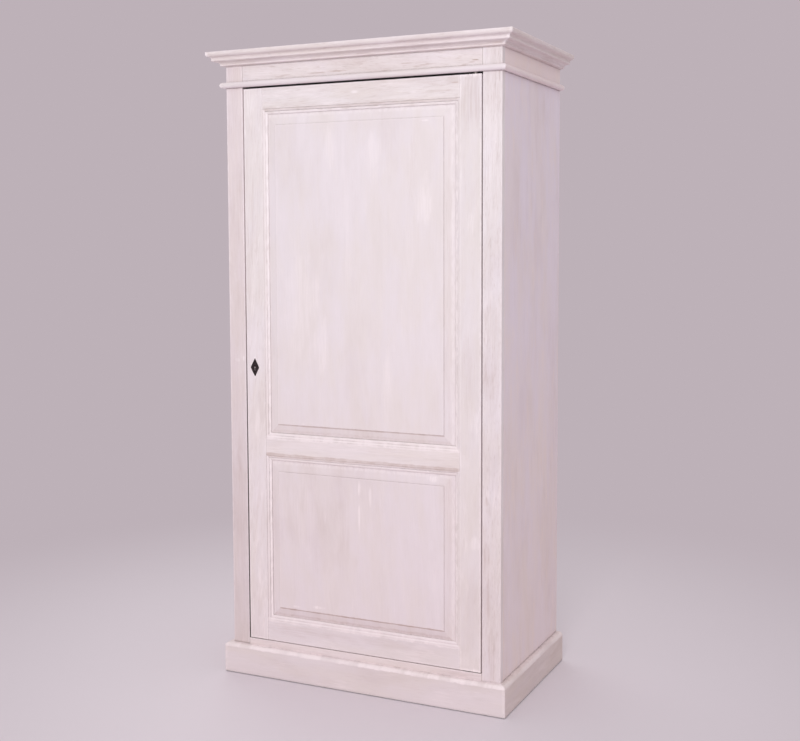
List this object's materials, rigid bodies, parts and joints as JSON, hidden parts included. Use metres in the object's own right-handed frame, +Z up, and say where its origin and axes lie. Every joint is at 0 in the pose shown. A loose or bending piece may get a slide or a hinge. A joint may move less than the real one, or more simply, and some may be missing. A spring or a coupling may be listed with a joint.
{
  "type": "one-door cupboard",
  "caption": "Tall one-door wooden cupboard on a plinth, with a moulded cornice, a frame-and-panel door on pivots, a lock with a keyhole plate, and shelves inside.",
  "frame": {"origin": "on the floor, under the middle of the whole cupboard's bounding box", "axes": "+X to the hinge side, +Y from the front to the back, +Z up"},
  "size_m": [1.05, 0.598, 2.05],
  "materials": {
    "front_wood": "whitewashed, brushed open grain, matt",
    "inner_wood": "whitewashed, plain, matt",
    "bright_steel": "brushed, dull",
    "dark_iron": "blackened, satin"
  },
  "bodies": {
    "carcass": {"left_front_stile": "front_wood", "right_front_stile": "front_wood", "frieze_rail": "front_wood", "bottom_rail": "front_wood", "cornice_front": "front_wood", "cornice_left": "front_wood", "cornice_right": "front_wood", "neck_bead_front": "front_wood", "neck_bead_left": "front_wood", "neck_bead_right": "front_wood", "plinth_front": "front_wood", "plinth_left": "front_wood", "plinth_right": "front_wood", "left_side_panel": "front_wood", "right_side_panel": "front_wood", "bottom_board": "inner_wood", "top_board": "inner_wood", "back_top_rail": "inner_wood", "back_bottom_rail": "inner_wood", "shelf_cleats": "inner_wood", "bottom_runners": "inner_wood", "corner_blocks": "inner_wood", "cornice_blocks": "inner_wood", "upper_door_stop": "inner_wood", "lower_door_stop": "inner_wood", "shelf_1": "inner_wood", "shelf_2": "inner_wood", "shelf_3": "inner_wood", "shelf_4": "inner_wood", "back_board_1": "inner_wood", "back_board_2": "inner_wood", "back_board_3": "inner_wood", "back_board_4": "inner_wood", "back_board_5": "inner_wood", "back_board_6": "inner_wood", "lower_pivot_plate": "bright_steel", "upper_pivot_plate": "bright_steel", "pivot_washer": "bright_steel", "lock_keeper": "bright_steel", "keeper_screws": "bright_steel"},
    "door": {"door_lock_stile": "front_wood", "door_hinge_stile": "front_wood", "door_top_rail": "front_wood", "door_mid_rail": "front_wood", "door_bottom_rail": "front_wood", "upper_panel": "front_wood", "lower_panel": "front_wood", "lower_pivot_socket": "bright_steel", "upper_pivot_socket": "bright_steel", "lock_plate": "bright_steel", "lock_case": "bright_steel", "lock_spring": "bright_steel", "lock_screws": "bright_steel", "escutcheon": "dark_iron", "escutcheon_pins": "dark_iron"},
    "lock_bolt": {"lock_bolt": "bright_steel"}
  },
  "joints": [
    {"name": "door_hinge", "type": "hinge", "parent": "carcass", "child": "door", "pos_m": [0.39, -0.24025, 0.123], "axis": [0, 0, 1], "range_deg": [0, 130]},
    {"name": "bolt_slide", "type": "slide", "parent": "door", "child": "lock_bolt", "axis": [-1, 0, 0], "range_m": [0, 0.012]}
  ]
}
